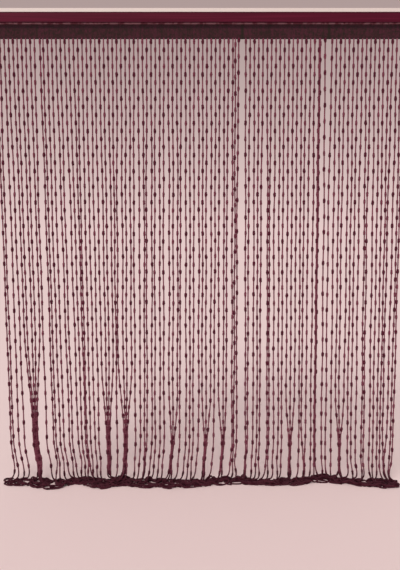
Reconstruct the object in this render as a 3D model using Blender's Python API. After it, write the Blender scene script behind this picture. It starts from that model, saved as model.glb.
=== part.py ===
"""A string curtain on its ceiling rail.

A plain pale rail is fixed to the ceiling, with a smooth fascia clipped on its front, a little below the
rail's top. The curtain's flat woven heading is held in the rail's slot, and the strings hang from the
heading's lower edge. They hang evenly at the top, stray and drift aside on the way down, gather here and
there near the floor, and pile up in a low wandering ridge on it.

Units are metres, +Z is up and +Y points away from the viewer. The origin is the middle of the rail's top
face.
"""

import math
import random
from collections import namedtuple

import bmesh
import bpy
from mathutils import Vector

# The rail, whose front edge shows above its fascia
HANGING_HEIGHT = 2.566
RAIL_LENGTH = 2.200
RAIL_DEPTH = 0.040
RAIL_HEIGHT = 0.030
RAIL_SHOWS = 0.020
RAIL_CHAMFER = 0.0015
FASCIA_HEIGHT = 0.054
FASCIA_THICKNESS = 0.003
FASCIA_TOP_GAP = 0.0006
LIP_HEIGHT = 0.0045
LIP_PROUD = 0.0010
TONGUE_LENGTH = 0.0030
TONGUE_HEIGHT = 0.0034
TONGUE_DROP = 0.0030
FIT_GAP = 0.0003

# The woven heading
HEADING_SHOWS = 0.080
HEADING_THICKNESS = 0.0018
HEADING_Y = -0.011
SLOT_DEPTH = 0.009
RIB_HEIGHT = 0.0040
RIB_PROUD = 0.0007

# The strings: heights are above the floor, and drops are below the heading. HANGING_HEIGHTS are the heights
# of a string's points. Every other string settles a little to the front, the rest to the back. A group that
# hangs together is gathered below a height, and comes together over a length, that grow with its count.
STRING_COUNT = 96
STRING_PITCH = 0.0228
STRING_RADIUS = 0.0028
STRING_SIDES = 3
ROOT_STRIP_HEIGHT = 0.006
ROOT_HALF_WIDTH = 0.0022
ROOT_HALF_DEPTH = 0.0006
HANGING_HEIGHTS = (1.97, 1.47, 0.95, 0.49, 0.22, 0.085)
DRIFT_BEND = 1.2
CURL_HEIGHT = 0.24
FRONT_AND_BACK = 0.0030
SETTLE_DROP = 0.40
GATHER_SPACING = 0.0050
GATHER_STAGGER = 0.0048
GATHERED_HEIGHT_EACH = 0.075
GATHER_LENGTH_EACH = 0.12
SEED = 32
STRAY_SEED = 37

# The strings' turns in the ridge on the floor
LAYER_RISE = 0.0085
TURN_HALF_WIDTH = 0.006
TURN_RUN = 0.008
LANDING_FORWARD = 0.007
TURN_JITTER = 0.003
FAN_SHARE = 0.60
END_TAPER = 0.200
END_SHARE = 0.25
LEVEL_TOLERANCE = 0.0001

FLOOR_Z = -HANGING_HEIGHT
HEADING_WIDTH = STRING_COUNT * STRING_PITCH
FASCIA_BOTTOM_Z = -RAIL_SHOWS - FASCIA_HEIGHT
TONGUE_TOP_Z = -RAIL_SHOWS - TONGUE_DROP
TONGUE_BOTTOM_Z = TONGUE_TOP_Z - TONGUE_HEIGHT
HEADING_BOTTOM_Z = FASCIA_BOTTOM_Z - HEADING_SHOWS
HANGING_LENGTH = HEADING_BOTTOM_Z - FLOOR_Z

# How a string strays sideways by chance: between which drops, and how far at most
Stray = namedtuple("Stray", "start end most")
STRAYS = (Stray(start=0.05, end=1.00, most=0.0065), Stray(start=1.00, end=2.10, most=0.0030))
stray_chance = random.Random(STRAY_SEED)
STRAY_SHARES = [[stray_chance.uniform(-1, 1) for number in range(STRING_COUNT)] for stray in STRAYS]

# The neighbouring strings that hang together at the foot: the first one's number and how many there are
GATHERED = {4: 5, 23: 4, 28: 4, 34: 2, 40: 3, 48: 3, 52: 3, 58: 2, 68: 3, 72: 2, 80: 3, 92: 2}

# Strings that leave the heading beside their place: the string's number and its shift to the right
OUT_OF_PLACE = {10: 0.006, 56: -0.010, 57: -0.015, 76: -0.016, 77: -0.014}

# Where the ridge lies: place across the curtain, how far it reaches in front of the strings and behind them,
# how far to the right the strings drift on their way down, and how far they curl to the right at the floor
Ridge = namedtuple("Ridge", "across front back drift curl")
RIDGE = (
    Ridge(across=-1.10, front=0.072, back=0.030, drift=0.012, curl=0.018),
    Ridge(across=-1.00, front=0.078, back=0.026, drift=0.020, curl=0.030),
    Ridge(across=-0.93, front=0.108, back=0.016, drift=0.021, curl=0.031),
    Ridge(across=-0.85, front=0.128, back=0.008, drift=0.022, curl=0.031),
    Ridge(across=-0.77, front=0.118, back=0.010, drift=0.023, curl=0.028),
    Ridge(across=-0.70, front=0.062, back=0.022, drift=0.024, curl=0.024),
    Ridge(across=-0.62, front=0.084, back=0.020, drift=0.017, curl=0.017),
    Ridge(across=-0.54, front=0.130, back=0.008, drift=0.009, curl=0.009),
    Ridge(across=-0.43, front=0.084, back=0.018, drift=-0.009, curl=-0.009),
    Ridge(across=-0.27, front=0.110, back=0.010, drift=-0.012, curl=-0.016),
    Ridge(across=-0.12, front=0.110, back=0.006, drift=-0.010, curl=-0.018),
    Ridge(across=0.06, front=0.080, back=0.010, drift=-0.004, curl=-0.018),
    Ridge(across=0.24, front=0.064, back=0.020, drift=0.009, curl=-0.016),
    Ridge(across=0.43, front=0.074, back=0.006, drift=0.014, curl=-0.008),
    Ridge(across=0.52, front=0.076, back=0.006, drift=0.014, curl=-0.004),
    Ridge(across=0.66, front=0.036, back=0.032, drift=0.014, curl=0.002),
    Ridge(across=0.80, front=0.058, back=0.010, drift=0.020, curl=0.004),
    Ridge(across=0.95, front=0.098, back=0.004, drift=0.024, curl=0.000),
    Ridge(across=1.10, front=0.118, back=0.004, drift=-0.002, curl=-0.008),
)

# Each string's turns in the ridge, from the top layer down, in half depths of the ridge: the edge it turns
# at (-1 is the front) and how far to the right of the string's foot it has wandered by then
Turn = namedtuple("Turn", "edge wander")
TURNS = (Turn(edge=-1, wander=0.5), Turn(edge=1, wander=-0.7), Turn(edge=-1, wander=0.9))
END_WANDER = -0.3
END_EDGE = 0.55


def clear_scene():
    for item in list(bpy.data.objects):
        bpy.data.objects.remove(item, do_unlink=True)


def make_material(name, colour, roughness, metallic=0.0):
    material = bpy.data.materials.new(name)
    material.use_nodes = True
    shader = material.node_tree.nodes["Principled BSDF"]
    shader.inputs["Base Color"].default_value = (*colour, 1.0)
    shader.inputs["Roughness"].default_value = roughness
    shader.inputs["Metallic"].default_value = metallic
    return material


def add_object(name, mesh_builder, material):
    """Turn a finished bmesh into a named object."""
    bmesh.ops.recalc_face_normals(mesh_builder, faces=mesh_builder.faces)
    mesh = bpy.data.meshes.new(name)
    mesh_builder.to_mesh(mesh)
    mesh_builder.free()
    mesh.materials.append(material)
    item = bpy.data.objects.new(name, mesh)
    bpy.context.scene.collection.objects.link(item)
    return item


def extrude_section(name, section, length, material):
    """Extrude a section, given as (y, z) corners, along X and centre it."""
    builder = bmesh.new()
    start = [builder.verts.new((-length / 2, y, z)) for y, z in section]
    face = builder.faces.new(start)
    grown = bmesh.ops.extrude_face_region(builder, geom=[face])
    moved = [part for part in grown["geom"] if isinstance(part, bmesh.types.BMVert)]
    bmesh.ops.translate(builder, verts=moved, vec=(length, 0, 0))
    return add_object(name, builder, material)


def make_rail(material):
    """A plain extruded rail, with a groove in its front for the fascia and a slot below for the heading."""
    front = -RAIL_DEPTH / 2
    back = RAIL_DEPTH / 2
    groove_top = TONGUE_TOP_Z + FIT_GAP
    groove_bottom = TONGUE_BOTTOM_Z - FIT_GAP
    slot_half = HEADING_THICKNESS / 2 + FIT_GAP
    section = [
        (back, 0.0),
        (front, 0.0),
        (front, groove_top),
        (front + TONGUE_LENGTH, groove_top),
        (front + TONGUE_LENGTH, groove_bottom),
        (front, groove_bottom),
        (front, -RAIL_HEIGHT + RAIL_CHAMFER),
        (front + RAIL_CHAMFER, -RAIL_HEIGHT),
        (HEADING_Y - slot_half, -RAIL_HEIGHT),
        (HEADING_Y - slot_half, -RAIL_HEIGHT + SLOT_DEPTH),
        (HEADING_Y + slot_half, -RAIL_HEIGHT + SLOT_DEPTH),
        (HEADING_Y + slot_half, -RAIL_HEIGHT),
        (back - RAIL_CHAMFER, -RAIL_HEIGHT),
        (back, -RAIL_HEIGHT + RAIL_CHAMFER),
    ]
    return extrude_section("rail", section, RAIL_LENGTH, material)


def make_fascia(material):
    """The smooth front strip: a raised lip along each edge and a tongue that sits in the rail's groove."""
    back = -RAIL_DEPTH / 2 - FIT_GAP
    face = back - FASCIA_THICKNESS
    lip = face - LIP_PROUD
    top = -RAIL_SHOWS - FASCIA_TOP_GAP
    bottom = FASCIA_BOTTOM_Z
    slope = LIP_PROUD
    tongue_tip = back + TONGUE_LENGTH
    section = [
        (back, top),
        (lip + slope, top),
        (lip, top - slope),
        (lip, top - LIP_HEIGHT + slope),
        (face, top - LIP_HEIGHT),
        (face, bottom + LIP_HEIGHT),
        (lip, bottom + LIP_HEIGHT - slope),
        (lip, bottom + slope),
        (lip + slope, bottom),
        (back, bottom),
        (back, TONGUE_BOTTOM_Z),
        (tongue_tip, TONGUE_BOTTOM_Z),
        (tongue_tip, TONGUE_TOP_Z),
        (back, TONGUE_TOP_Z),
    ]
    return extrude_section("fascia", section, RAIL_LENGTH, material)


def make_heading(material):
    """The flat woven band: its top edge sits in the rail's slot and a thin rib runs under the fascia."""
    front = HEADING_Y - HEADING_THICKNESS / 2
    back = HEADING_Y + HEADING_THICKNESS / 2
    top = -RAIL_HEIGHT + SLOT_DEPTH - FIT_GAP
    bottom = HEADING_BOTTOM_Z + ROOT_STRIP_HEIGHT + FIT_GAP
    rib_top = FASCIA_BOTTOM_Z
    rib_bottom = rib_top - RIB_HEIGHT
    section = [
        (back, top),
        (front, top),
        (front, rib_top),
        (front - RIB_PROUD, rib_top - RIB_PROUD),
        (front - RIB_PROUD, rib_bottom + RIB_PROUD),
        (front, rib_bottom),
        (front, bottom),
        (back, bottom),
    ]
    return extrude_section("heading", section, HEADING_WIDTH, material)


def ease(value):
    """A smooth rise from 0 to 1."""
    value = min(max(value, 0.0), 1.0)
    return value * value * (3 - 2 * value)


def ridge_at(across):
    """The ridge's row at any place across the curtain, read between the rows of RIDGE."""
    if across <= RIDGE[0].across:
        return RIDGE[0]
    for left, right in zip(RIDGE, RIDGE[1:]):
        if across <= right.across:
            share = (across - left.across) / (right.across - left.across)
            return Ridge(*(a + (b - a) * share for a, b in zip(left, right)))
    return RIDGE[-1]


def lane(index):
    """A string's even place across the curtain."""
    return (index - (STRING_COUNT - 1) / 2) * STRING_PITCH


def gathered_place(index):
    """The group a string hangs in at its foot: its middle, its count and the string's place in it."""
    for first, count in GATHERED.items():
        if first <= index < first + count:
            return lane(first + (count - 1) / 2), count, index - first - (count - 1) / 2
    return lane(index), 1, 0.0


def hanging_point(index, z):
    """A point of a string between the heading and the floor."""
    drop = HEADING_BOTTOM_Z - z
    height = z - FLOOR_Z
    apart = Vector((lane(index) + OUT_OF_PLACE.get(index, 0.0), HEADING_Y))
    for stray, shares in zip(STRAYS, STRAY_SHARES):
        apart.x += stray.most * shares[index] * ease((drop - stray.start) / (stray.end - stray.start))
    apart.y += FRONT_AND_BACK * (1 - index % 2 * 2) * ease(drop / SETTLE_DROP)
    middle, count, place = gathered_place(index)
    together = Vector((middle + place * GATHER_SPACING, HEADING_Y + place * GATHER_STAGGER))
    above_gathered = height - GATHERED_HEIGHT_EACH * (count - 1)
    share = 1 - ease(above_gathered / (GATHER_LENGTH_EACH * count)) if count > 1 else 0.0
    x, y = apart.lerp(together, share)
    ridge = ridge_at(middle)
    x += ridge.drift * (drop / HANGING_LENGTH) ** DRIFT_BEND + ridge.curl * ease(1 - height / CURL_HEIGHT)
    return Vector((x, y, z))


def turn_points(index, scatter):
    """A string's route in the ridge, from where it lands on top to its end on the floor."""
    ridge = ridge_at(lane(index))
    foot_x = lane(index) + ridge.drift + ridge.curl
    middle_y = HEADING_Y + (ridge.back - ridge.front) / 2
    half_depth = (ridge.back + ridge.front) / 2
    from_end = HEADING_WIDTH / 2 - abs(lane(index))
    reach = half_depth * (END_SHARE + (1 - END_SHARE) * ease(from_end / END_TAPER))
    lowest = FLOOR_Z + STRING_RADIUS * math.cos(math.pi / STRING_SIDES)
    layer = len(TURNS)
    start = hanging_point(index, lowest + layer * LAYER_RISE + STRING_RADIUS)
    start.z += max(start.y - HEADING_Y, 0.0)
    start.x += (foot_x - start.x) * FAN_SHARE
    start.y -= LANDING_FORWARD
    points = [start]
    x = start.x
    for turn in TURNS:
        turn_x = foot_x + turn.wander * reach + scatter.uniform(-1, 1) * TURN_JITTER
        turn_y = middle_y + turn.edge * half_depth + scatter.uniform(-1, 1) * TURN_JITTER
        side = math.copysign(TURN_HALF_WIDTH, turn_x - x)
        inner_y = turn_y - turn.edge * TURN_RUN
        z = lowest + layer * LAYER_RISE
        points.append(Vector((turn_x + side, inner_y, z)))
        points.append(Vector((turn_x, turn_y, z - LAYER_RISE / 2)))
        points.append(Vector((turn_x - side, inner_y, z - LAYER_RISE)))
        x = turn_x
        layer -= 1
    end_x = foot_x + END_WANDER * reach
    end_y = middle_y + END_EDGE * half_depth + scatter.uniform(-1, 1) * TURN_JITTER
    halfway = (points[-1] + Vector((end_x, end_y, lowest))) / 2
    halfway.x += TURN_HALF_WIDTH * scatter.uniform(-1, 1)
    points.append(halfway)
    points.append(Vector((end_x, end_y, lowest)))
    return points


def string_route(index, scatter):
    """All of a string's centre line below its root."""
    hanging = [hanging_point(index, FLOOR_Z + height) for height in HANGING_HEIGHTS]
    return hanging + turn_points(index, scatter)


def string_section(point, heading):
    """The three corners of a string at a point, with a flat side down where it lies."""
    reference = Vector((0, -abs(heading.z), 1 - abs(heading.z)))
    up = (reference - heading * reference.dot(heading)).normalized()
    side = heading.cross(up)
    corners = []
    for corner in range(STRING_SIDES):
        angle = math.pi / 2 + corner * math.tau / STRING_SIDES
        corners.append(point + STRING_RADIUS * (math.cos(angle) * side + math.sin(angle) * up))
    return corners


def join_rings(builder, upper, lower):
    for corner in range(STRING_SIDES):
        following = (corner + 1) % STRING_SIDES
        builder.faces.new((upper[corner], upper[following], lower[following], lower[corner]))


def grow_string(builder, root, route):
    """Sweep a string from its root in the strip along its route and close its end."""
    upper = root
    for number, point in enumerate(route):
        before = route[number - 1] if number else route[0] + Vector((0, 0, 1))
        after = route[number + 1] if number + 1 < len(route) else point
        heading = (point - before).normalized() + (after - point).normalized()
        if abs(point.z - route[-1].z) < LEVEL_TOLERANCE:
            heading.z = 0.0
        ring = [builder.verts.new(corner) for corner in string_section(point, heading.normalized())]
        join_rings(builder, upper, ring)
        upper = ring
    builder.faces.new(upper)


def make_fringe(material):
    """The strings, fused at their roots into the narrow strip under the heading."""
    builder = bmesh.new()
    scatter = random.Random(SEED)
    front = HEADING_Y - HEADING_THICKNESS / 2
    back = HEADING_Y + HEADING_THICKNESS / 2
    roots = [lane(index) + OUT_OF_PLACE.get(index, 0.0) for index in range(STRING_COUNT)]
    edges = [-HEADING_WIDTH / 2]
    edges += [(left + right) / 2 for left, right in zip(roots, roots[1:])]
    edges.append(HEADING_WIDTH / 2)
    top_z = HEADING_BOTTOM_Z + ROOT_STRIP_HEIGHT
    posts = []
    for x in edges:
        corners = ((front, top_z), (back, top_z), (back, HEADING_BOTTOM_Z), (front, HEADING_BOTTOM_Z))
        posts.append([builder.verts.new((x, y, z)) for y, z in corners])
    builder.faces.new(posts[0])
    builder.faces.new(posts[-1])
    for index, (left, right) in enumerate(zip(posts, posts[1:])):
        for corner in (0, 1, 3):
            following = (corner + 1) % len(left)
            builder.faces.new((left[corner], left[following], right[following], right[corner]))
        x = roots[index]
        near = builder.verts.new((x, HEADING_Y - ROOT_HALF_DEPTH, HEADING_BOTTOM_Z))
        far_left = builder.verts.new((x - ROOT_HALF_WIDTH, HEADING_Y + ROOT_HALF_DEPTH, HEADING_BOTTOM_Z))
        far_right = builder.verts.new((x + ROOT_HALF_WIDTH, HEADING_Y + ROOT_HALF_DEPTH, HEADING_BOTTOM_Z))
        builder.faces.new((left[3], right[3], near))
        builder.faces.new((left[2], left[3], near, far_left))
        builder.faces.new((right[3], right[2], far_right, near))
        builder.faces.new((right[2], left[2], far_left, far_right))
        grow_string(builder, [near, far_right, far_left], string_route(index, scatter))
    bmesh.ops.triangulate(builder, faces=builder.faces)
    return add_object("fringe", builder, material)


clear_scene()
rail_plastic = make_material("rail_plastic", (0.80, 0.79, 0.76), 0.45)
burgundy_satin = make_material("burgundy_satin", (0.098, 0.011, 0.025), 0.32)
plum_weave = make_material("plum_weave", (0.036, 0.014, 0.017), 0.85)
plum_yarn = make_material("plum_yarn", (0.052, 0.017, 0.028), 0.80)

assembly = bpy.data.objects.new("string_curtain", None)
bpy.context.scene.collection.objects.link(assembly)
for piece in (
    make_rail(rail_plastic),
    make_fascia(burgundy_satin),
    make_heading(plum_weave),
    make_fringe(plum_yarn),
):
    piece.parent = assembly
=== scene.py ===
"""The looks of a string curtain on its ceiling rail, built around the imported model."""

import math
import random

import bpy
import numpy as np
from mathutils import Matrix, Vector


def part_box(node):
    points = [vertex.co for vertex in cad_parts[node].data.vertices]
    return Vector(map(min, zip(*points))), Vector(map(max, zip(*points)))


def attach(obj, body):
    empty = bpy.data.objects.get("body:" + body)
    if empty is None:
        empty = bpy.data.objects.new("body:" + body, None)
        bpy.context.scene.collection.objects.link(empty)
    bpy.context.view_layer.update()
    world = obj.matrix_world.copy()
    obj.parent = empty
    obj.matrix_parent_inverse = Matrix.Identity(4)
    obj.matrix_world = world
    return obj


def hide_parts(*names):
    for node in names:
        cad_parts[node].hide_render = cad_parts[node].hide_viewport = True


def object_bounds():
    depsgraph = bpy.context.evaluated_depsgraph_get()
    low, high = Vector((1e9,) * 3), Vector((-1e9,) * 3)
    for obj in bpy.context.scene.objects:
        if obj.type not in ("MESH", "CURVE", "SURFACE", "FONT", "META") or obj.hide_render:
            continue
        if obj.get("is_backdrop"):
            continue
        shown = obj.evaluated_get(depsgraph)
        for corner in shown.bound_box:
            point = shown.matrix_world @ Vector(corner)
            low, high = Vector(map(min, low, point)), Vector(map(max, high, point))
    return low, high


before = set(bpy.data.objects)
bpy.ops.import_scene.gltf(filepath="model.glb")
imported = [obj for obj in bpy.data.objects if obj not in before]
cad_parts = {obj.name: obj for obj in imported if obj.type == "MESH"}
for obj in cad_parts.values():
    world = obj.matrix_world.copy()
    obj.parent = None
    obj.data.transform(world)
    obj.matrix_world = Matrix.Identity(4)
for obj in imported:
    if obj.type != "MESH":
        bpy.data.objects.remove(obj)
cad_low, cad_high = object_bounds()

# The place it is seen in: a pale painted floor that runs on into a backdrop of the same tone, one broad soft
# light from the upper left, and a camera as far off and as high as the photographer's was.
FLOOR_Z = cad_low.z
HEADING_THICKNESS = 0.0018
STRINGS_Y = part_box("heading")[1].y - HEADING_THICKNESS / 2
IMAGE_HEIGHT = 570
FOCAL_PIXELS = 512
SENSOR = 36.0
CAMERA_DISTANCE = 2.80
CAMERA_HEIGHT = 1.34
CAMERA_PITCH = math.radians(4.7)
CAMERA_ASIDE = -0.003
FLOOR_PAINT = "FAE1E0"
FLOOR_SIZE = 80.0
ROOM_LIGHT = "F3EFED"
ROOM_STRENGTH = 0.50
LAMP_STRENGTH = 1.70
LAMP_TINT = "FFFCF9"
LAMP_TILT = math.radians(46)
LAMP_TURN = math.radians(-24)
LAMP_WIDTH = math.radians(35)
DIM_FROM = 0.03
DIM_TO = 0.37
DIM_SHARE = 0.55


def linear(hex_colour):
    """An sRGB hex colour as linear red, green, blue and full alpha."""
    shares = [int(hex_colour[start:start + 2], 16) / 255 for start in (0, 2, 4)]
    return tuple(s / 12.92 if s <= 0.04045 else ((s + 0.055) / 1.055) ** 2.4 for s in shares) + (1.0,)


def add_node(tree, kind, settings=None, links=None):
    """Add a node: its settings and its links go by the name of a property or socket, or a socket's number."""
    node = tree.nodes.new(kind)
    for name, value in (settings or {}).items():
        if isinstance(name, int) or name in node.inputs:
            node.inputs[name].default_value = value
        else:
            setattr(node, name, value)
    for name, source in (links or {}).items():
        tree.links.new(source, node.inputs[name])
    return node


def empty_tree(owner):
    """The node tree of a material or a world, with nothing in it."""
    owner.use_nodes = True
    owner.node_tree.nodes.clear()
    return owner.node_tree


camera_data = bpy.data.cameras.new("camera")
camera_data.sensor_width = SENSOR
camera_data.lens = SENSOR * FOCAL_PIXELS / IMAGE_HEIGHT
camera_data.clip_start = 0.05
camera = bpy.data.objects.new("camera", camera_data)
camera.location = (CAMERA_ASIDE, STRINGS_Y - CAMERA_DISTANCE, FLOOR_Z + CAMERA_HEIGHT)
camera.rotation_euler = (math.pi / 2 - CAMERA_PITCH, 0.0, 0.0)
bpy.context.scene.collection.objects.link(camera)
bpy.context.scene.camera = camera
bpy.context.scene.view_settings.view_transform = "Standard"

lamp = bpy.data.lights.new("soft_light", "SUN")
lamp.energy = LAMP_STRENGTH
lamp.angle = LAMP_WIDTH
lamp.color = linear(LAMP_TINT)[:3]
light = bpy.data.objects.new("soft_light", lamp)
light.rotation_euler = (LAMP_TILT, 0.0, LAMP_TURN)
bpy.context.scene.collection.objects.link(light)

# The backdrop's tone is the floor paint's in this light, so no edge shows where the floor ends. It dims
# towards the ceiling, as the light in the room does.
from_lamp = LAMP_STRENGTH * math.cos(LAMP_TILT) / math.pi
tones = zip(linear(FLOOR_PAINT), linear(LAMP_TINT), linear(ROOM_LIGHT))
floor_tone = [
    paint * (from_lamp * lamp_tint + ROOM_STRENGTH * room_tint) for paint, lamp_tint, room_tint in tones]
backdrop = bpy.data.worlds.new("backdrop")
tree = empty_tree(backdrop)
direction = add_node(tree, "ShaderNodeTexCoord")
upward = add_node(tree, "ShaderNodeSeparateXYZ", links={"Vector": direction.outputs["Generated"]})
dimming = add_node(tree, "ShaderNodeMapRange", {
    "From Min": DIM_FROM, "From Max": DIM_TO, "To Min": 1.0, "To Max": DIM_SHARE}, {
    "Value": upward.outputs["Z"]})
seen = add_node(tree, "ShaderNodeBackground", {"Color": (*floor_tone[:3], 1.0)}, {
    "Strength": dimming.outputs["Result"]})
room = add_node(tree, "ShaderNodeBackground", {"Color": linear(ROOM_LIGHT), "Strength": ROOM_STRENGTH})
ray = add_node(tree, "ShaderNodeLightPath")
both = add_node(tree, "ShaderNodeMixShader", links={
    "Fac": ray.outputs["Is Camera Ray"], 1: room.outputs["Background"], 2: seen.outputs["Background"]})
add_node(tree, "ShaderNodeOutputWorld", links={"Surface": both.outputs["Shader"]})
bpy.context.scene.world = backdrop

floor_paint = bpy.data.materials.new("matt_floor_paint")
tree = empty_tree(floor_paint)
surface = add_node(tree, "ShaderNodeBsdfPrincipled", {
    "Base Color": linear(FLOOR_PAINT), "Roughness": 1.0, "Specular IOR Level": 0.0})
add_node(tree, "ShaderNodeOutputMaterial", links={"Surface": surface.outputs["BSDF"]})
bpy.ops.mesh.primitive_plane_add(size=FLOOR_SIZE, location=(0.0, 0.0, FLOOR_Z))
floor = bpy.context.object
floor.name = "floor"
floor.data.materials.append(floor_paint)
floor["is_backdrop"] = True

# The ceiling rail: off-white uPVC, extruded in one length and screwed to the ceiling. Its front edge shows
# above the fascia, and its back and underside from behind.
UPVC = "EDE0DA"
UPVC_DULL = "E0D3CC"
DIE_LINE_SPACING = 0.00111
DIE_LINE_LENGTH = 0.5
DIE_LINE_DEPTH = 0.0002

# The plastic has a low, even gloss, and faint lengthwise lines that the die leaves. The real lines are some
# 0.3 mm apart, and they are drawn 1.1 mm apart, so that they show from close by.
rail_upvc = bpy.data.materials.new("extruded_upvc")
tree = empty_tree(rail_upvc)
place = add_node(tree, "ShaderNodeTexCoord")
drawn_out = add_node(tree, "ShaderNodeMapping", {
    "Scale": (1 / DIE_LINE_LENGTH, 1 / DIE_LINE_SPACING, 1 / DIE_LINE_SPACING)}, {
    "Vector": place.outputs["Object"]})
die_lines = add_node(tree, "ShaderNodeTexNoise", {"Scale": 1.0, "Detail": 2.0}, {
    "Vector": drawn_out.outputs["Vector"]})
tone = add_node(tree, "ShaderNodeMix", {
    "data_type": "RGBA", 6: linear(UPVC_DULL), 7: linear(UPVC)}, {0: die_lines.outputs["Fac"]})
relief = add_node(tree, "ShaderNodeBump", {"Strength": 0.2, "Distance": DIE_LINE_DEPTH}, {
    "Height": die_lines.outputs["Fac"]})
surface = add_node(tree, "ShaderNodeBsdfPrincipled", {"Roughness": 0.45, "IOR": 1.52}, {
    "Base Color": tone.outputs[2], "Normal": relief.outputs["Normal"]})
add_node(tree, "ShaderNodeOutputMaterial", links={"Surface": surface.outputs["BSDF"]})
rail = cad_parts["rail"]
rail.data.materials.clear()
rail.data.materials.append(rail_upvc)

# The fascia: a thin burgundy strip of satin PVC, extruded with a round lip along its top and its bottom edge
# and clipped by a tongue into the groove in the rail's front. Its face is crowned and waves very slightly.
BURGUNDY = "5F192F"
BURGUNDY_DEEP = "4C1124"
# The tone of the painted shade along the fascia's lips, and how far in from each edge it reaches
BURGUNDY_PAINTED_SHADE = "3F1020"
EDGE_SHADE = 0.0060
STREAK_LENGTH = 0.667
STREAK_HEIGHT = 0.0091
LIP_HEIGHT = 0.0045
LIP_PROUD = 0.0010
TONGUE_LENGTH = 0.0030
TONGUE_HEIGHT = 0.0034
TONGUE_DROP = 0.0024
LIP_STEPS = 8
FACE_STEPS = 10
FACE_CROWN = 0.0004
FASCIA_LENGTHS = 44
SURFACE_WAVE = 0.0002
WAVE_TURNS_AND_STARTS = ((9.0, 0.0), (23.0, 1.0))
SHARP_FROM = math.radians(35)


def add_piece(name, points, faces, material):
    """A smoothly shaded piece of these points and faces, in one material."""
    mesh = bpy.data.meshes.new(name)
    mesh.from_pydata(points.reshape(-1, 3).tolist(), [], faces)
    mesh.materials.append(material)
    mesh.polygons.foreach_set("use_smooth", [True] * len(mesh.polygons))
    mesh.update()
    piece = bpy.data.objects.new(name, mesh)
    bpy.context.scene.collection.objects.link(piece)
    return piece


def add_swept(name, rings, material):
    """A closed piece swept through rings of points of equal count, with both ends capped."""
    count, around = rings.shape[:2]
    corner = np.arange(count * around).reshape(count, around)
    near = corner[:-1]
    far = corner[1:]
    quads = np.stack([near, np.roll(near, -1, axis=1), np.roll(far, -1, axis=1), far], axis=-1).reshape(-1, 4)
    faces = quads.tolist()
    faces.append(corner[0, ::-1].tolist())
    faces.append(corner[-1].tolist())
    return add_piece(name, rings, faces, material)


low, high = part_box("fascia")
face_y = low.y + LIP_PROUD
back_y = high.y - TONGUE_LENGTH
outline = []
for middle in (high.z - LIP_HEIGHT / 2, low.z + LIP_HEIGHT / 2):
    for step in range(LIP_STEPS + 1):
        turn = math.pi * step / LIP_STEPS
        outline.append((face_y - LIP_PROUD * math.sin(turn), middle + LIP_HEIGHT / 2 * math.cos(turn)))
    if middle > (low.z + high.z) / 2:
        face_top = high.z - LIP_HEIGHT
        face_height = face_top - (low.z + LIP_HEIGHT)
        for step in range(1, FACE_STEPS):
            share = step / FACE_STEPS
            crown = FACE_CROWN * 4 * share * (1 - share)
            outline.append((face_y - crown, face_top - face_height * share))
outline += [
    (back_y, low.z),
    (back_y, high.z - TONGUE_DROP - TONGUE_HEIGHT),
    (high.y, high.z - TONGUE_DROP - TONGUE_HEIGHT),
    (high.y, high.z - TONGUE_DROP),
    (back_y, high.z - TONGUE_DROP),
    (back_y, high.z),
]
along = np.linspace(low.x, high.x, FASCIA_LENGTHS + 1)
rings = np.zeros((len(along), len(outline), 3))
rings[:, :, 0] = along[:, None]
rings[:, :, 1:] = np.array(outline)[None]
facing = np.array([y < face_y + LIP_PROUD / 2 for y, z in outline])
ripples = sum(np.sin(along * turns + start) for turns, start in WAVE_TURNS_AND_STARTS)
rings[:, facing, 1] += (SURFACE_WAVE * ripples / len(WAVE_TURNS_AND_STARTS))[:, None]

# Satin PVC scatters the little light that it reflects, so the strip shows its own tone and no highlight. Its
# colour is darkened along the lips with painted shade, and it is faintly streaked lengthwise, as extruded
# plastic is, each streak 9 mm high.
fascia_pvc = bpy.data.materials.new("satin_burgundy_pvc")
tree = empty_tree(fascia_pvc)
place = add_node(tree, "ShaderNodeTexCoord")
drawn_out = add_node(tree, "ShaderNodeMapping", {"Scale": (1 / STREAK_LENGTH, 1.0, 1 / STREAK_HEIGHT)}, {
    "Vector": place.outputs["Object"]})
streaks = add_node(tree, "ShaderNodeTexNoise", {"Scale": 1.0, "Detail": 4.0, "Roughness": 0.6}, {
    "Vector": drawn_out.outputs["Vector"]})
contrast = add_node(tree, "ShaderNodeMapRange", {"From Min": 0.35, "From Max": 0.65}, {
    "Value": streaks.outputs["Fac"]})
body_tone = add_node(tree, "ShaderNodeMix", {
    "data_type": "RGBA", 6: linear(BURGUNDY_DEEP), 7: linear(BURGUNDY)}, {0: contrast.outputs["Result"]})
upright = add_node(tree, "ShaderNodeSeparateXYZ", links={"Vector": place.outputs["Object"]})
off_middle = add_node(tree, "ShaderNodeMath", {"operation": "SUBTRACT", 1: (low.z + high.z) / 2}, {
    0: upright.outputs["Z"]})
to_middle = add_node(tree, "ShaderNodeMath", {"operation": "ABSOLUTE"}, {0: off_middle.outputs["Value"]})
half_height = (high.z - low.z) / 2
# Painted shade: the tone darkens towards the top and the bottom edge of the strip
painted_edge_shade = add_node(tree, "ShaderNodeMapRange", {
    "interpolation_type": "SMOOTHSTEP",
    "From Min": half_height - EDGE_SHADE, "From Max": half_height - EDGE_SHADE / 3}, {
    "Value": to_middle.outputs["Value"]})
with_edge_shade = add_node(tree, "ShaderNodeMix", {"data_type": "RGBA", 7: linear(BURGUNDY_PAINTED_SHADE)}, {
    0: painted_edge_shade.outputs["Result"], 6: body_tone.outputs[2]})
surface = add_node(tree, "ShaderNodeBsdfPrincipled", {
    "Roughness": 0.42, "IOR": 1.52, "Specular IOR Level": 0.05}, {"Base Color": with_edge_shade.outputs[2]})
add_node(tree, "ShaderNodeOutputMaterial", links={"Surface": surface.outputs["BSDF"]})
fascia = add_swept("fascia_strip", rings, fascia_pvc)
fascia.data.set_sharp_from_angle(angle=SHARP_FROM)
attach(fascia, "root")
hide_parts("fascia")
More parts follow.
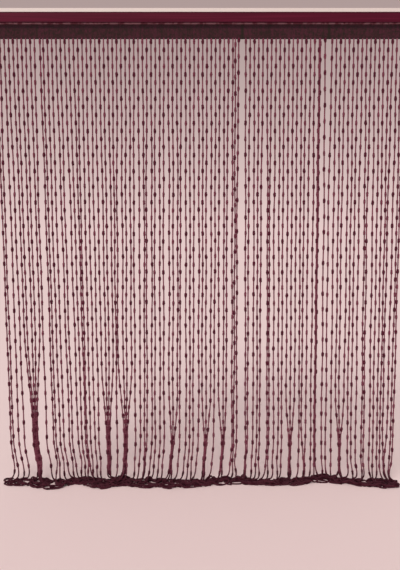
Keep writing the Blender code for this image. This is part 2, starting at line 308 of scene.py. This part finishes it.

# The heading: a flat band woven in plum and grey-brown cotton, its top edge in the rail's slot. The strings'
# own yarn runs up into it. A paler cord is woven along its top, just under the fascia, with a band of painted
# shadow below it for the fascia's shadow, and its lower edge is a firm, darker selvedge.
PITCH = 0.0228
STRINGS = 96
CELLS_PER_PITCH = 8
WEFT = 0.0025
CELL_RELIEF = 0.00022
LANE_RELIEF = 0.0004
LANE_HALF_WIDTH = 0.0026
LANE_COLOUR_WIDTH = 0.55
CORD_BEHIND_FASCIA = 0.0045
CORD_HEIGHT = 0.0090
CORD_FADE = 0.75
CORD_PROUD = 0.0012
# How far below the cord's middle the band of painted shadow lies
PAINTED_SHADOW_BELOW_CORD = 0.018
SELVEDGE_HEIGHT = 0.006
SELVEDGE_PROUD = 0.0005
DARK_ABOVE_EDGE = 0.002
SPECKLE_SIZE = 0.00667
SPECKLE_WEIGHT = 2.2
BLOTCH_SIZE = 0.0222

# Strings that leave the heading out of place: which one from the left, and how far to the right of its lane
OUT_OF_PLACE = {10: 0.006, 56: -0.010, 57: -0.015, 76: -0.016, 77: -0.014}

WEAVE_PLUM = "4D2531"
WEAVE_BROWN = "2E211F"
WEAVE_BARE = "2A231D"
# The deepest weave tone is used both for the painted shadow below the cord and for the darker selvedge
WEAVE_SHADE_AND_SELVEDGE = "24101A"
CORD_MAUVE = "B5868F"
CORD_DULL = "7C4450"

lanes = (np.arange(STRINGS) - (STRINGS - 1) / 2) * PITCH
roots = lanes + np.array([OUT_OF_PLACE.get(number, 0.0) for number in range(STRINGS)])
cord_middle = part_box("fascia")[0].z + CORD_BEHIND_FASCIA - CORD_HEIGHT / 2
heading_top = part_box("heading")[1].z
heading_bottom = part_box("fringe")[1].z - SELVEDGE_HEIGHT
heading_width = STRINGS * PITCH
columns = np.linspace(-heading_width / 2, heading_width / 2, STRINGS * CELLS_PER_PITCH + 1)
rows = np.linspace(heading_top, heading_bottom, round((heading_top - heading_bottom) / WEFT) + 1)
over_under = np.where((np.arange(len(columns))[:, None] + np.arange(len(rows))[None]) % 2, 1.0, -1.0)
to_lane = np.abs(columns[:, None] - roots[None]).min(axis=1)
yarn = np.exp(-((to_lane / LANE_HALF_WIDTH) ** 2))
lane_colour = np.exp(-((to_lane / (PITCH * LANE_COLOUR_WIDTH)) ** 4))
in_cord = np.clip(1 - np.abs((rows - cord_middle) / (CORD_HEIGHT * CORD_FADE)), 0, 1)
in_selvedge = np.clip(1 - np.abs((rows - (heading_bottom + SELVEDGE_HEIGHT / 2)) / SELVEDGE_HEIGHT), 0, 1)
proud = CELL_RELIEF * over_under + LANE_RELIEF * yarn[:, None]
proud += CORD_PROUD * in_cord[None] + SELVEDGE_PROUD * in_selvedge[None]
rings = np.zeros((len(columns), 2 * len(rows), 3))
rings[:, :, 0] = columns[:, None]
rings[:, :len(rows), 1] = STRINGS_Y - HEADING_THICKNESS / 2 - proud
rings[:, len(rows):, 1] = (STRINGS_Y + HEADING_THICKNESS / 2 + CELL_RELIEF * over_under)[:, ::-1]
rings[:, :len(rows), 2] = rows[None]
rings[:, len(rows):, 2] = rows[None, ::-1]

# Woven cotton is matt. The plum and the grey-brown yarns mottle it in spots of some 7 mm and blotches of some
# 22 mm. The real cloth has a thread every millimetre or so. Its cells are drawn 2.5 mm high and nearly 3 mm
# wide, so that they show from close by.
heading_weave = bpy.data.materials.new("plain_woven_cotton")
tree = empty_tree(heading_weave)
place = add_node(tree, "ShaderNodeTexCoord")
blotches = add_node(tree, "ShaderNodeTexNoise", {"Scale": 1 / BLOTCH_SIZE, "Detail": 1.0}, {
    "Vector": place.outputs["Object"]})
speckle = add_node(tree, "ShaderNodeTexNoise", {"Scale": 1 / SPECKLE_SIZE, "Detail": 2.0, "Roughness": 0.7}, {
    "Vector": place.outputs["Object"]})
mixed = add_node(tree, "ShaderNodeMath", {"operation": "MULTIPLY_ADD", 1: SPECKLE_WEIGHT}, {
    0: speckle.outputs["Fac"], 2: blotches.outputs["Fac"]})
plum_share = add_node(tree, "ShaderNodeMapRange", {"From Min": 1.30, "From Max": 1.90}, {
    "Value": mixed.outputs["Value"]})
ground = add_node(tree, "ShaderNodeMix", {
    "data_type": "RGBA", 6: linear(WEAVE_BROWN), 7: linear(WEAVE_PLUM)}, {0: plum_share.outputs["Result"]})
lane_share = add_node(tree, "ShaderNodeAttribute", {"attribute_name": "yarn"})
with_lanes = add_node(tree, "ShaderNodeMix", {"data_type": "RGBA", 6: linear(WEAVE_BARE)}, {
    0: lane_share.outputs["Fac"], 7: ground.outputs[2]})
cord_spots = add_node(tree, "ShaderNodeMapRange", {"From Min": 0.42, "From Max": 0.58}, {
    "Value": blotches.outputs["Fac"]})
cord_tone = add_node(tree, "ShaderNodeMix", {
    "data_type": "RGBA", 6: linear(CORD_DULL), 7: linear(CORD_MAUVE)}, {0: cord_spots.outputs["Result"]})
shade_and_selvedge_share = add_node(tree, "ShaderNodeAttribute", {"attribute_name": "edge"})
with_shade_and_selvedge = add_node(tree, "ShaderNodeMix", {"data_type": "RGBA", 7: linear(WEAVE_SHADE_AND_SELVEDGE)}, {
    0: shade_and_selvedge_share.outputs["Fac"], 6: with_lanes.outputs[2]})
cord_share = add_node(tree, "ShaderNodeAttribute", {"attribute_name": "cord"})
with_cord = add_node(tree, "ShaderNodeMix", {"data_type": "RGBA"}, {
    0: cord_share.outputs["Fac"], 6: with_shade_and_selvedge.outputs[2], 7: cord_tone.outputs[2]})
surface = add_node(tree, "ShaderNodeBsdfPrincipled", {
    "Roughness": 0.9, "Specular IOR Level": 0.1, "Sheen Weight": 0.05, "Sheen Roughness": 0.5}, {
    "Base Color": with_cord.outputs[2]})
add_node(tree, "ShaderNodeOutputMaterial", links={"Surface": surface.outputs["BSDF"]})


def dark_band(middle, half_height, most):
    """How much darker a band across the heading makes each row of its weave: the painted shadow below the
    cord, or the darker selvedge.
    """
    return most * np.exp(-(((rows - middle) / half_height) ** 2))


def add_share(piece, name, values):
    """Give every point of a piece a share from 0 to 1, which its material reads by this name."""
    attribute = piece.data.attributes.new(name, "FLOAT", "POINT")
    attribute.data.foreach_set("value", values.astype(np.float32).ravel())


heading = add_swept("woven_heading", rings, heading_weave)
# Painted shadow: a dark band below the cord stands for the fascia's shadow. The selvedge is darker in its own
# right.
painted_shadow_under_cord = dark_band(cord_middle - PAINTED_SHADOW_BELOW_CORD, half_height=0.008, most=0.7)
low_edge = dark_band(heading_bottom + DARK_ABOVE_EDGE, half_height=0.004, most=0.5)
shade_and_selvedge = np.maximum(painted_shadow_under_cord, low_edge)
add_share(heading, "yarn", np.repeat(lane_colour[:, None], 2 * len(rows), axis=1))
for name, share in (("cord", in_cord), ("edge", shade_and_selvedge)):
    add_share(heading, name, np.repeat(np.concatenate([share, 0 * share])[None], len(columns), axis=0))
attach(heading, "root")
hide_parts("heading")

# The strings: ninety-six strands of chunky two-ply plum yarn, spun with a fat dark slub and a slimmer, redder
# one by turns, one every 84 mm, and each lane's slubs sit a step of 42 mm above the last lane's. They leave
# the heading evenly, stray and drift aside on the way down, and gather here and there near the floor.
THREAD_RADIUS = 0.0036
DARK_RADIUS = 0.0076
PALE_RADIUS = 0.0066
SLUB_HALF_LENGTH = 0.0134
SLUB_STEP = 0.042
FIRST_SLUB = 0.017
LANES_PER_REPEAT = 4
OWN_FIRST_SLUB = {56: 0.115, 57: 0.008, 76: 0.111, 77: 0.008}
STRING_LENGTH = 2.76

# Where a string lies slack it is this much fatter, and its slubs stand out this much less
SLACK_LOFT = 0.08
SLACK_SLUB = 0.50

# Every string strays twice on its way down: how far down that starts and ends, and the most that it strays
FIRST_STRAY = (0.05, 1.00, 0.0065)
SECOND_STRAY = (1.00, 2.10, 0.0030)
STRAY_SEED = 37

# By turns the strings settle a little in front of the heading and behind it. They drift aside more and more
# towards the floor, and curl over just above it.
FRONT_AND_BACK = 0.0030
SETTLE_DROP = 0.40
DRIFT_BEND = 1.2
CURL_HEIGHT = 0.24

# The bunches near the floor: which string from the left each one starts at, and how many strings it has
GATHERED = {4: 5, 23: 4, 28: 4, 34: 2, 40: 3, 48: 3, 52: 3, 58: 2, 68: 3, 72: 2, 80: 3, 92: 2}
GATHER_SPACING = 0.0050
GATHER_STAGGER = 0.0048
GATHERED_HEIGHT_EACH = 0.075
GATHER_LENGTH_EACH = 0.12

# Every string sways a little all the way down: in waves of so many radians a metre, and this far aside
SWAYS = ((9.0, 0.0018), (41.0, 0.0006))
SWAY_SHARES = (0.3, 1.0)
SLUB_UNEVEN = 0.004
CHANCE_SEED = 7

chance = np.random.default_rng(CHANCE_SEED)


def ease(value):
    """A smooth rise from 0 to 1."""
    value = np.clip(value, 0.0, 1.0)
    return value * value * (3 - 2 * value)


stray_chance = random.Random(STRAY_SEED)
strays = [(start, end, most * np.array([stray_chance.uniform(-1, 1) for number in range(STRINGS)]))
          for start, end, most in (FIRST_STRAY, SECOND_STRAY)]
front_or_back = FRONT_AND_BACK * (1 - np.arange(STRINGS) % 2 * 2)
group_first = np.arange(STRINGS)
group_count = np.ones(STRINGS)
for first, count in GATHERED.items():
    group_first[first:first + count] = first
    group_count[first:first + count] = count
place_in_group = np.arange(STRINGS) - group_first - (group_count - 1) / 2
group_middle = lanes - place_in_group * PITCH

# The ridge that the strings' ends lie in: places across the curtain, how far it reaches in front of the
# strings and behind them there, how far to the right the strings drift on their way down, and how far they
# curl to the right at the floor
RIDGE_PLACES = (
    -1.10, -1.00, -0.93, -0.85, -0.77, -0.70, -0.62, -0.54, -0.43, -0.27, -0.12, 0.06, 0.24, 0.43, 0.52,
    0.66, 0.80, 0.95, 1.10,
)
RIDGE_FRONT = (
    .072, .078, .108, .128, .118, .062, .084, .130, .084, .110, .110, .080, .064, .074, .076, .036, .058,
    .098, .118,
)
RIDGE_BACK = (
    .030, .026, .016, .008, .010, .022, .020, .008, .018, .010, .006, .010, .020, .006, .006, .032, .010,
    .004, .004,
)
RIDGE_DRIFT = (
    .012, .020, .021, .022, .023, .024, .017, .009, -.009, -.012, -.010, -.004, .009, .014, .014, .014,
    .020, .024, -.002,
)
RIDGE_CURL = (
    .018, .030, .031, .031, .028, .024, .017, .009, -.009, -.016, -.018, -.018, -.016, -.008, -.004, .002,
    .004, .000, -.008,
)
drifted = np.interp(group_middle, RIDGE_PLACES, RIDGE_DRIFT)
curled = np.interp(group_middle, RIDGE_PLACES, RIDGE_CURL)
sway_phase = chance.uniform(0, 2 * math.pi, (len(SWAYS), STRINGS, 1))[:, group_first]
sway_share = chance.uniform(*SWAY_SHARES, (len(SWAYS), STRINGS, 1))[:, group_first]


def hanging(z):
    """Every string's points at these heights, between the heading and the floor."""
    drop = heading_bottom - z[None]
    height = z[None] - FLOOR_Z
    x = np.repeat(roots[:, None], len(z), axis=1)
    for start, end, most in strays:
        x = x + most[:, None] * ease((drop - start) / (end - start))
    y = front_or_back[:, None] * ease(drop / SETTLE_DROP)
    above_gathered = height - GATHERED_HEIGHT_EACH * (group_count - 1)[:, None]
    share = 1 - ease(above_gathered / (GATHER_LENGTH_EACH * group_count)[:, None])
    share = share * (group_count > 1)[:, None]
    x += ((group_middle + place_in_group * GATHER_SPACING)[:, None] - x) * share
    y += ((place_in_group * GATHER_STAGGER)[:, None] - y) * share
    x += drifted[:, None] * (np.maximum(drop, 0) / (heading_bottom - FLOOR_Z)) ** DRIFT_BEND
    x += curled[:, None] * ease(1 - height / CURL_HEIGHT)
    for (waves, size), phase, amount in zip(SWAYS, sway_phase, sway_share):
        x = x + ease(drop / SETTLE_DROP) * size * amount * np.sin(drop * waves + phase)
    return np.stack([x, STRINGS_Y + y, np.broadcast_to(z[None], x.shape)], axis=-1)


dark_first = FIRST_SLUB + SLUB_STEP * (-np.arange(STRINGS) % LANES_PER_REPEAT)
for number, first in OWN_FIRST_SLUB.items():
    dark_first[number] = first
slub_spacing = 2 * SLUB_STEP * (1 + chance.uniform(-SLUB_UNEVEN, SLUB_UNEVEN, STRINGS))


def swelling(number, along):
    """How far a string's slubs swell it at these lengths from its root, from 0 to 1, and which are pale."""
    count = (along - dark_first[number]) / slub_spacing[number]
    nearest = np.round(count)
    off = (count - nearest) * slub_spacing[number] / SLUB_HALF_LENGTH
    return np.sqrt(np.clip(1 - off * off, 0, 1)), nearest % 2


def string_radius(fat, pale, slack):
    """A string's radius where it is this fat, in a dark slub or a pale one, and this slack."""
    thread = THREAD_RADIUS * (1 + SLACK_LOFT * slack)
    slub = DARK_RADIUS + (PALE_RADIUS - DARK_RADIUS) * pale
    return thread + (slub - thread) * fat * (1 - SLACK_SLUB * slack)


# The ridge on the floor: the last 0.33 m of each string runs to and fro along the ridge in long loops, from
# one edge of it towards the other, and is laid from its end up, so it lies on what is there already.
JOIN_HEIGHT = 0.115
HEAP_STEP = 0.005
HEAP_STEPS = 66

# How far a loop swings along the ridge, and how far across the ridge its next turn lies, in half depths of it
LOOP_SWING = (0.030, 0.072)
LOOP_SHIFT = (0.55, 1.10)
MOST_LOOPS = 6
LOOP_SAMPLES = 1200
FIRST_EDGE = (-0.2, 0.5)
EDGE_SHARE = 0.93
LEAST_CURL = 0.006
END_ROOM = 0.050
OUTWARD_FROM = 0.99
KEPT_APART = 0.35
BEND_LENGTH = 0.10

# The pile is kept as heights on a grid. A string climbs it no steeper than CLIMB, and presses into the string
# below until NESTLE of that one's radius still holds it up. PILED_AT_ONCE steps of each are laid by turns.
CELL = 0.002
PILE_ROOM_ASIDE = 0.10
PILE_ROOM_DEEP = 0.06
CLIMB = 0.8
NESTLE = 0.10
PILED_AT_ONCE = 14


def drifting(knots, place):
    """Smooth values between a row of knots for each string, one knot at each whole place."""
    whole = place.astype(int)
    share = ease(place - whole)
    return knots[:, whole] * (1 - share) + knots[:, whole + 1] * share


halves = np.linspace(0, 2 * MOST_LOOPS, LOOP_SAMPLES)[:-1]
swing = drifting(chance.uniform(*LOOP_SWING, (STRINGS, 2 * MOST_LOOPS + 1)), halves)
edge_knots = np.zeros((STRINGS, 2 * MOST_LOOPS + 1))
edge_knots[:, 0] = chance.uniform(*FIRST_EDGE, STRINGS)
for knot in range(1, 2 * MOST_LOOPS + 1):
    turned = edge_knots[:, knot - 1] + chance.uniform(*LOOP_SHIFT, STRINGS) * chance.choice((-1, 1), STRINGS)
    turned = np.where(turned > 1, 2 - turned, turned)
    edge_knots[:, knot] = np.where(turned < -1, -2 - turned, turned)
to_edge = drifting(edge_knots, halves)
foot_x = group_middle + drifted + curled + place_in_group * PITCH * KEPT_APART
foot_x = np.clip(foot_x, cad_low.x + END_ROOM, cad_high.x - END_ROOM)
first_side = np.where(np.abs(curled) > LEAST_CURL, np.sign(curled), chance.choice((-1.0, 1.0), STRINGS))
first_side = np.where(np.abs(lanes) > OUTWARD_FROM, np.sign(lanes), first_side)
room_aside = cad_high.x + END_ROOM / 2 - np.abs(foot_x)
swing = np.minimum(swing, room_aside[:, None])
loop_x = foot_x[:, None] + first_side[:, None] * swing * np.sin(halves * math.pi)[None]
front = np.interp(loop_x, RIDGE_PLACES, RIDGE_FRONT)
back = np.interp(loop_x, RIDGE_PLACES, RIDGE_BACK)
loop_y = STRINGS_Y + (back - front) / 2 + EDGE_SHARE * to_edge * (back + front) / 2
plan = np.zeros((STRINGS, HEAP_STEPS, 2))
for number in range(STRINGS):
    gone = np.concatenate([[0.0], np.cumsum(np.hypot(np.diff(loop_x[number]), np.diff(loop_y[number])))])
    at = np.arange(HEAP_STEPS) * HEAP_STEP
    plan[number, :, 0] = np.interp(at, gone, loop_x[number])
    plan[number, :, 1] = np.interp(at, gone, loop_y[number])

hang_length = heading_bottom - FLOOR_Z - JOIN_HEIGHT
pile_left = cad_low.x - PILE_ROOM_ASIDE
pile_front = cad_low.y - PILE_ROOM_DEEP
cells_across = round((cad_high.x + PILE_ROOM_ASIDE - pile_left) / CELL)
cells_deep = round((cad_high.y + PILE_ROOM_DEEP - pile_front) / CELL)
pile = np.zeros((cells_across, cells_deep))
heap_z = np.zeros((STRINGS, HEAP_STEPS))
spread = np.array([(a, b) for a in (-1, 0, 1) for b in (-1, 0, 1)])
for upper in range(HEAP_STEPS - 1, -1, -PILED_AT_ONCE):
    lower = max(upper - PILED_AT_ONCE + 1, 0)
    for number in chance.permutation(STRINGS):
        stretch = slice(lower, upper + 1)
        at = hang_length + BEND_LENGTH + np.arange(lower, upper + 1) * HEAP_STEP
        fat, pale = swelling(number, at)
        radius = string_radius(fat, pale, 1.0)
        across = ((plan[number, stretch, 0] - pile_left) / CELL).astype(int)[:, None] + spread[:, 0]
        deep = ((plan[number, stretch, 1] - pile_front) / CELL).astype(int)[:, None] + spread[:, 1]
        z = pile[across, deep].max(axis=1) + radius
        if upper < HEAP_STEPS - 1:
            z[-1] = max(z[-1], heap_z[number, upper + 1] - CLIMB * HEAP_STEP)
        for k in range(len(z) - 2, -1, -1):
            z[k] = max(z[k], z[k + 1] - CLIMB * HEAP_STEP)
        for k in range(1, len(z)):
            z[k] = max(z[k], z[k - 1] - CLIMB * HEAP_STEP)
        heap_z[number, stretch] = z
        np.maximum.at(pile, (across, deep), (z + NESTLE * radius)[:, None])
padded = np.pad(heap_z, ((0, 0), (1, 1)), mode="edge")
heap_z = (padded[:, :-2] + 2 * padded[:, 1:-1] + padded[:, 2:]) / 4

# Each string's whole way: the hanging part, which starts a little way up in the heading, a bend that lands it
# on the ridge, and its loops there
ROOT_IN_HEADING = 0.004
HANG_POINTS = 160
BEND_POINTS = 16
MEET = 4
hung = hanging(np.linspace(heading_bottom + ROOT_IN_HEADING, FLOOR_Z + JOIN_HEIGHT, HANG_POINTS))
heap = np.concatenate([plan, (FLOOR_Z + heap_z)[:, :, None]], axis=-1)
leave = hung[:, -1]
arrive = heap[:, MEET]
leave_way = hung[:, -1] - hung[:, -2]
leave_way /= np.linalg.norm(leave_way, axis=1)[:, None]
arrive_way = heap[:, MEET + 1] - heap[:, MEET]
arrive_way /= np.linalg.norm(arrive_way, axis=1)[:, None]
reach = np.linalg.norm(arrive - leave, axis=1)[:, None]
t = np.linspace(0, 1, BEND_POINTS)[None, 1:-1, None]
done = t * t * (3 - 2 * t)
bend = (1 - done) * leave[:, None] + t * (1 - t) ** 2 * (leave_way * reach)[:, None]
bend = bend + done * arrive[:, None] - t * t * (1 - t) * (arrive_way * reach)[:, None]
routes = np.concatenate([hung, bend, heap[:, MEET:]], axis=1)

# The yarn itself: a soft dyed cotton, matt and a little uneven, its two plies twisted once every 14 mm. The
# twist is drawn as a bump, because its grooves are finer than the mesh, and the grooves are darkened with
# painted shade. The dye took unevenly, in patches some 56 mm long. The fibres' fuzz, really a tenth of a
# millimetre fine, is drawn at 1.1 mm so that it shows.
STRINGS_PER_PIECE = 12
SIDES = 8
SLUB_RINGS = (-1.0, -0.93, -0.75, -0.40, 0.0, 0.40, 0.75, 0.93, 1.0)
HANG_RING_STEP = 0.022
HEAP_RING_STEP = 0.007
UNEVEN = 0.06
LUMPY = 0.04
LUMPY_SLUB = 0.12
SLUB_TONE_SPREAD = 1.4
FLOOR_GAP = 0.0002
TWIST_PITCH = 0.014
TWIST_SHARE = 0.5
RELIEF_DEPTH = 0.0006
FUZZ_SIZE = 0.00111
DYE_PATCH = 0.0556
THREAD_PLUM = "834858"
DARK_SLUB = "5A2434"
PALE_SLUB = "783D4D"
GROOVE_SHADE = 0.75

# Near the floor the yarn lies slack, and its colour is darkened there: painted shade for the strands' shade
SLACK_BELOW = 0.09
SLACK_FADE = 0.06
LYING_PAINTED_SHADE = "300F17"
LYING_SHADE_SHARE = 0.75

slub_yarn = bpy.data.materials.new("slub_yarn")
tree = empty_tree(slub_yarn)
place = add_node(tree, "ShaderNodeTexCoord")
slub_share = add_node(tree, "ShaderNodeAttribute", {"attribute_name": "slub"})
pale_share = add_node(tree, "ShaderNodeAttribute", {"attribute_name": "pale"})
slub_tone = add_node(tree, "ShaderNodeMix", {
    "data_type": "RGBA", 6: linear(DARK_SLUB), 7: linear(PALE_SLUB)}, {0: pale_share.outputs["Fac"]})
yarn_tone = add_node(tree, "ShaderNodeMix", {"data_type": "RGBA", 6: linear(THREAD_PLUM)}, {
    0: slub_share.outputs["Fac"], 7: slub_tone.outputs[2]})
slack_share = add_node(tree, "ShaderNodeAttribute", {"attribute_name": "slack"})
# Painted shade: the tone turns deep plum where the yarn lies slack
painted_lying_shade = add_node(tree, "ShaderNodeMath", {"operation": "MULTIPLY", 1: LYING_SHADE_SHARE}, {
    0: slack_share.outputs["Fac"]})
with_lying_shade = add_node(tree, "ShaderNodeMix", {"data_type": "RGBA", 7: linear(LYING_PAINTED_SHADE)}, {
    0: painted_lying_shade.outputs["Value"], 6: yarn_tone.outputs[2]})
wound = add_node(tree, "ShaderNodeUVMap", {"uv_map": "wound"})
around = add_node(tree, "ShaderNodeSeparateXYZ", links={"Vector": wound.outputs["UV"]})
turns = add_node(tree, "ShaderNodeMath", {"operation": "MULTIPLY_ADD", 1: 1 / TWIST_PITCH}, {
    0: around.outputs["Y"], 2: around.outputs["X"]})
angle = add_node(tree, "ShaderNodeMath", {"operation": "MULTIPLY", 1: 2 * math.pi}, {
    0: turns.outputs["Value"]})
ply = add_node(tree, "ShaderNodeMath", {"operation": "SINE"}, {0: angle.outputs["Value"]})
# Painted shade: the colour darkens in the grooves between the plies
painted_groove_shade = add_node(tree, "ShaderNodeMapRange", {"From Min": -1.0, "From Max": 0.2, "To Min": GROOVE_SHADE}, {
    "Value": ply.outputs["Value"]})
dye = add_node(tree, "ShaderNodeTexNoise", {"Scale": 1 / DYE_PATCH, "Detail": 2.0}, {
    "Vector": place.outputs["Object"]})
dye_shade = add_node(tree, "ShaderNodeMapRange", {
    "From Min": 0.3, "From Max": 0.7, "To Min": 0.82, "To Max": 1.15}, {"Value": dye.outputs["Fac"]})
# The painted groove shade times the real unevenness of the dye
groove_shade_and_dye = add_node(tree, "ShaderNodeMath", {"operation": "MULTIPLY"}, {
    0: painted_groove_shade.outputs["Result"], 1: dye_shade.outputs["Result"]})
with_groove_shade_and_dye = add_node(tree, "ShaderNodeVectorMath", {"operation": "SCALE"}, {
    0: with_lying_shade.outputs[2], "Scale": groove_shade_and_dye.outputs["Value"]})
fuzz = add_node(tree, "ShaderNodeTexNoise", {"Scale": 1 / FUZZ_SIZE, "Detail": 2.0}, {
    "Vector": place.outputs["Object"]})
surface_height = add_node(tree, "ShaderNodeMath", {"operation": "MULTIPLY_ADD", 1: TWIST_SHARE}, {
    0: ply.outputs["Value"], 2: fuzz.outputs["Fac"]})
relief = add_node(tree, "ShaderNodeBump", {"Strength": 0.5, "Distance": RELIEF_DEPTH}, {
    "Height": surface_height.outputs["Value"]})
surface = add_node(tree, "ShaderNodeBsdfPrincipled", {
    "Roughness": 0.9, "Specular IOR Level": 0.05, "Sheen Weight": 0.02}, {
    "Base Color": with_groove_shade_and_dye.outputs["Vector"], "Normal": relief.outputs["Normal"]})
add_node(tree, "ShaderNodeOutputMaterial", links={"Surface": surface.outputs["BSDF"]})

ring_angle = np.arange(SIDES) * 2 * math.pi / SIDES
corner_share = np.array([(k, k, k + 1, k + 1) for k in range(SIDES)]) / SIDES


def ring_places(number, length):
    """Where along a string its rings lie: close together over a slub and on the floor."""
    places = [0.0]
    middle = dark_first[number]
    while middle - slub_spacing[number] > SLUB_HALF_LENGTH:
        middle -= slub_spacing[number]
    while middle + SLUB_HALF_LENGTH < length:
        gap = middle - SLUB_HALF_LENGTH - places[-1]
        step = HEAP_RING_STEP if middle > hang_length else HANG_RING_STEP
        pieces = max(round(gap / step), 1)
        places += [places[-1] + gap * k / pieces for k in range(1, pieces)]
        places += [middle + share * SLUB_HALF_LENGTH for share in SLUB_RINGS]
        middle += slub_spacing[number]
    gap = length - places[-1]
    pieces = max(round(gap / HEAP_RING_STEP), 1)
    places += [places[-1] + gap * (k + 1) / pieces for k in range(pieces)]
    return np.array(places)


for leftmost in range(0, STRINGS, STRINGS_PER_PIECE):
    points = []
    faces = []
    slub_values = []
    pale_values = []
    slack_values = []
    wound_values = []
    for number in range(leftmost, leftmost + STRINGS_PER_PIECE):
        route = routes[number]
        gone = np.concatenate([[0.0], np.cumsum(np.linalg.norm(np.diff(route, axis=0), axis=1))])
        places = ring_places(number, min(STRING_LENGTH, gone[-1]))
        middle = np.stack([np.interp(places, gone, route[:, axis]) for axis in range(3)], axis=-1)
        way = np.gradient(middle, places, axis=0)
        way /= np.linalg.norm(way, axis=1)[:, None]
        level = np.linalg.norm(way[:, :2], axis=1)[:, None]
        lift = np.array([[0.0, 0.0, 1.0]]) * level + np.array([[0.0, -1.0, 0.0]]) * (1 - level)
        lift = lift - way * (lift * way).sum(axis=1)[:, None]
        lift /= np.linalg.norm(lift, axis=1)[:, None]
        side = np.cross(way, lift)
        fat, pale = swelling(number, places)
        slack = ease((SLACK_BELOW - (middle[:, 2] - FLOOR_Z)) / SLACK_FADE)
        radius = string_radius(fat, pale, slack) * (1 + UNEVEN * chance.uniform(-1, 1, len(places)))
        lumps = LUMPY + LUMPY_SLUB * fat * (1 - slack)
        rough = 1 + lumps[:, None] * chance.uniform(-1, 1, (len(places), SIDES))
        out = np.cos(ring_angle)[:, None] * side[:, None] + np.sin(ring_angle)[:, None] * lift[:, None]
        rings = middle[:, None] + out * (radius[:, None] * rough)[:, :, None]
        rings[:, :, 2] = np.maximum(rings[:, :, 2], FLOOR_Z + FLOOR_GAP)
        corner = len(points) * SIDES + np.arange(len(places) * SIDES).reshape(-1, SIDES)
        near = corner[:-1]
        far = corner[1:]
        quads = np.stack([near, far, np.roll(far, -1, axis=1), np.roll(near, -1, axis=1)], axis=-1)
        faces += quads.reshape(-1, 4).tolist()
        faces.append(corner[0].tolist())
        faces.append(corner[-1, ::-1].tolist())
        along = np.stack([places[:-1], places[1:], places[1:], places[:-1]], axis=-1)
        wound = np.zeros((len(places) - 1, SIDES, 4, 2))
        wound[..., 0] = corner_share
        wound[..., 1] = along[:, None]
        wound_values += [wound.reshape(-1, 2), np.zeros((2 * SIDES, 2))]
        points += list(rings)
        slub_values.append(np.repeat(np.clip(fat * SLUB_TONE_SPREAD, 0, 1), SIDES))
        pale_values.append(np.repeat(pale, SIDES))
        slack_values.append(np.repeat(slack, SIDES))
    piece = add_piece(f"strings_{leftmost // STRINGS_PER_PIECE + 1}", np.array(points), faces, slub_yarn)
    for name, values in (("slub", slub_values), ("pale", pale_values), ("slack", slack_values)):
        add_share(piece, name, np.concatenate(values))
    layer = piece.data.uv_layers.new(name="wound")
    layer.data.foreach_set("uv", np.concatenate(wound_values).astype(np.float32).ravel())
    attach(piece, "root")
    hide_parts("fringe")

low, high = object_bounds()
